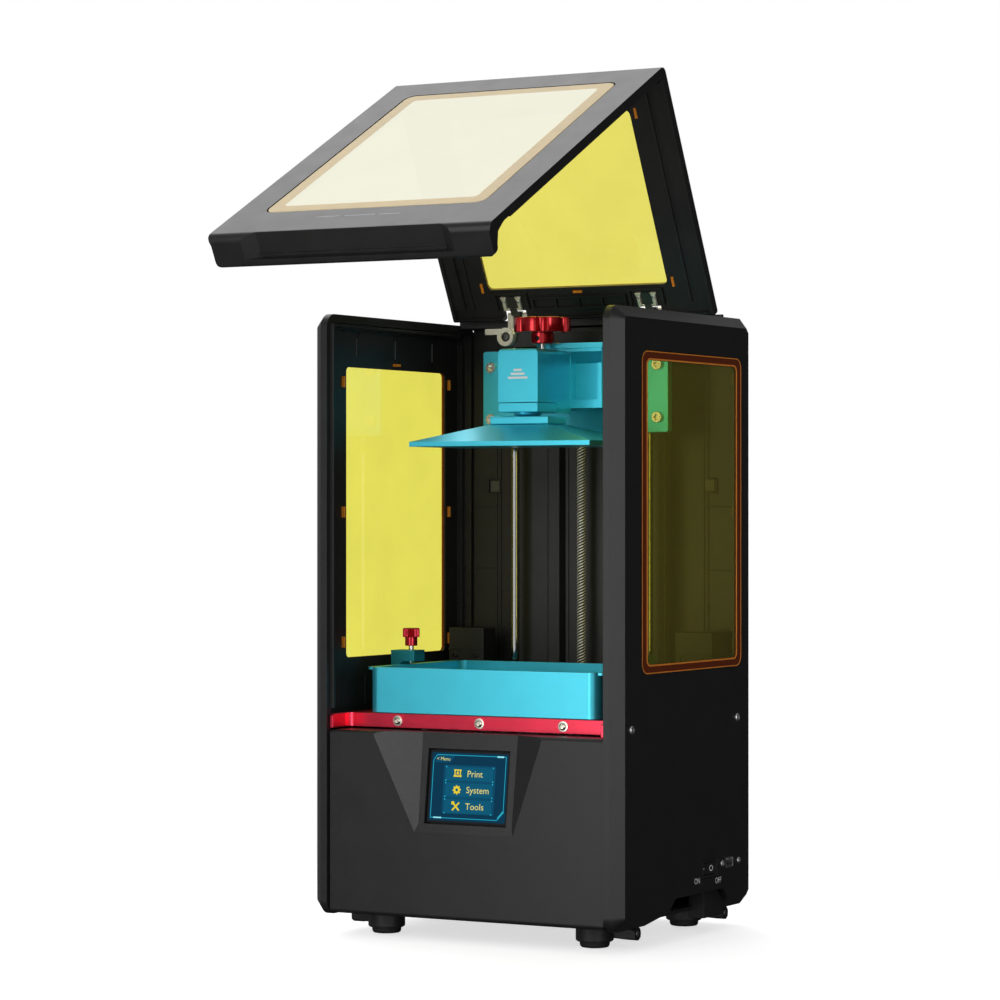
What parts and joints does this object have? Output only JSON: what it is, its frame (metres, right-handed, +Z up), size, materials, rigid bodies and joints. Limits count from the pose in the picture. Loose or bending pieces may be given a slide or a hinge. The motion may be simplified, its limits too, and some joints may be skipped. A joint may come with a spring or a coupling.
{
  "type": "resin printer",
  "caption": "Desktop resin printer: chamfered black body with amber windows, hinged L-shaped lid, raised blue platform on a vertical axis, resin vat, touch screen.",
  "frame": {"origin": "centre of the rest pose bounding box in plan, on the plane the feet stand on; the rest pose has the lid standing open and the build platform raised", "axes": "+Z up, +X to the right hand seen from the front, -Y out of the front face with the touch screen"},
  "size_m": [0.23, 0.3414, 0.5719],
  "materials": {
    "body_black": "satin",
    "dark_metal": "satin",
    "black_plastic": "matte",
    "amber_window": "gloss",
    "blue_anodised": "satin",
    "red_anodised": "satin",
    "red_knob": "gloss",
    "steel": "satin",
    "nickel": "gloss",
    "rubber": "matte",
    "screen_glass": "gloss",
    "lcd_glass": "gloss",
    "circuit_board": "satin",
    "bare_aluminium": "satin",
    "brass": "satin",
    "clear_film": "gloss"
  },
  "bodies": {
    "base": {"side_panel_right": "body_black", "side_panel_left": "body_black", "side_window_right": "amber_window", "side_window_left": "amber_window", "base_front_cover": "body_black", "touch_screen": "screen_glass", "base_tray": "black_plastic", "foot_front_left": "rubber", "foot_front_right": "rubber", "foot_rear_left": "rubber", "foot_rear_right": "rubber", "rear_cover": "body_black", "power_jack": "black_plastic", "deck_plate": "red_anodised", "lcd_panel": "lcd_glass", "light_hood": "bare_aluminium", "uv_lamp_heatsink": "bare_aluminium", "main_board": "circuit_board", "usb_port": "steel", "rocker_frame": "black_plastic", "fan_frame": "black_plastic", "z_motor": "dark_metal", "lower_rod_mount": "dark_metal", "upper_rod_mount": "dark_metal", "rod_left": "nickel", "rod_right": "nickel", "tower_plate": "dark_metal", "corner_box_right": "dark_metal", "corner_box_left": "dark_metal", "vat_clamp_right": "blue_anodised", "vat_clamp_left": "blue_anodised", "hinge_bracket_left": "nickel", "hinge_bracket_right": "nickel"},
    "lid": {"lid_shell": "body_black", "lid_top_window": "amber_window", "lid_front_window": "amber_window", "hinge_arm_left": "nickel", "hinge_arm_right": "nickel"},
    "carriage": {"carriage_plate": "blue_anodised", "carriage_arm": "blue_anodised", "lead_nut": "brass", "bearing_left": "dark_metal", "bearing_right": "dark_metal"},
    "screw": {"lead_screw": "steel", "drive_coupler": "bare_aluminium"},
    "knob": {"clamp_knob": "red_knob", "knob_screw": "steel"},
    "mount": {"platform_mount": "blue_anodised"},
    "ball": {"ball_stud": "steel"},
    "platform": {"platform_boss": "blue_anodised", "build_plate": "blue_anodised"},
    "vat": {"vat": "blue_anodised", "vat_film": "clear_film", "film_frame": "steel"},
    "thumbscrew_left": {"thumbscrew_left": "red_anodised"},
    "thumbscrew_right": {"thumbscrew_right": "red_anodised"},
    "fan": {"fan_rotor": "black_plastic"},
    "rocker": {"rocker_switch": "black_plastic"}
  },
  "joints": [
    {"name": "lid_hinge", "type": "hinge", "parent": "base", "child": "lid", "pos_m": [0, 0.14545, 0.4178], "axis": [-1, 0, 0], "range_deg": [-62.7, 27.3]},
    {"name": "carriage_lift", "type": "slide", "parent": "base", "child": "carriage", "axis": [0, 0, 1], "range_m": [-0.172, 0]},
    {"name": "screw_spin", "type": "hinge", "parent": "base", "child": "screw", "pos_m": [0, 0.13815, 0.27], "axis": [0, 0, 1], "range_deg": [-60, 7800]},
    {"name": "clamp_knob_turn", "type": "hinge", "parent": "carriage", "child": "knob", "pos_m": [0, 0.08185, 0.4], "axis": [0, 0, 1], "range_deg": [0, 720]},
    {"name": "platform_release", "type": "slide", "parent": "carriage", "child": "mount", "axis": [0, -1, 0], "range_m": [0, 0.045]},
    {"name": "platform_tilt_fore_aft", "type": "hinge", "parent": "mount", "child": "ball", "pos_m": [0, 0.06095, 0.342], "axis": [1, 0, 0], "range_deg": [-2, 2]},
    {"name": "platform_tilt_side", "type": "hinge", "parent": "ball", "child": "platform", "pos_m": [0, 0.06095, 0.342], "axis": [0, 1, 0], "range_deg": [-2, 2]},
    {"name": "vat_slide", "type": "slide", "parent": "base", "child": "vat", "axis": [0, -1, 0], "range_m": [0, 0.11]},
    {"name": "thumbscrew_left_turn", "type": "hinge", "parent": "base", "child": "thumbscrew_left", "pos_m": [-0.0868, 0.05435, 0.19], "axis": [0, 0, 1], "range_deg": [0, 720]},
    {"name": "thumbscrew_right_turn", "type": "hinge", "parent": "base", "child": "thumbscrew_right", "pos_m": [0.0868, 0.05435, 0.19], "axis": [0, 0, 1], "range_deg": [0, 720]},
    {"name": "fan_spin", "type": "hinge", "parent": "base", "child": "fan", "pos_m": [-0.068, 0.16115, 0.07], "axis": [0, 1, 0], "continuous": true},
    {"name": "power_rocker_tilt", "type": "hinge", "parent": "base", "child": "rocker", "pos_m": [0.107, 0.10305, 0.04365], "axis": [0, 0, 1], "range_deg": [0, 12]}
  ],
  "couplings": [
    {"joint": "screw_spin", "follows": "carriage_lift", "rad_per_m": -785.4}
  ]
}
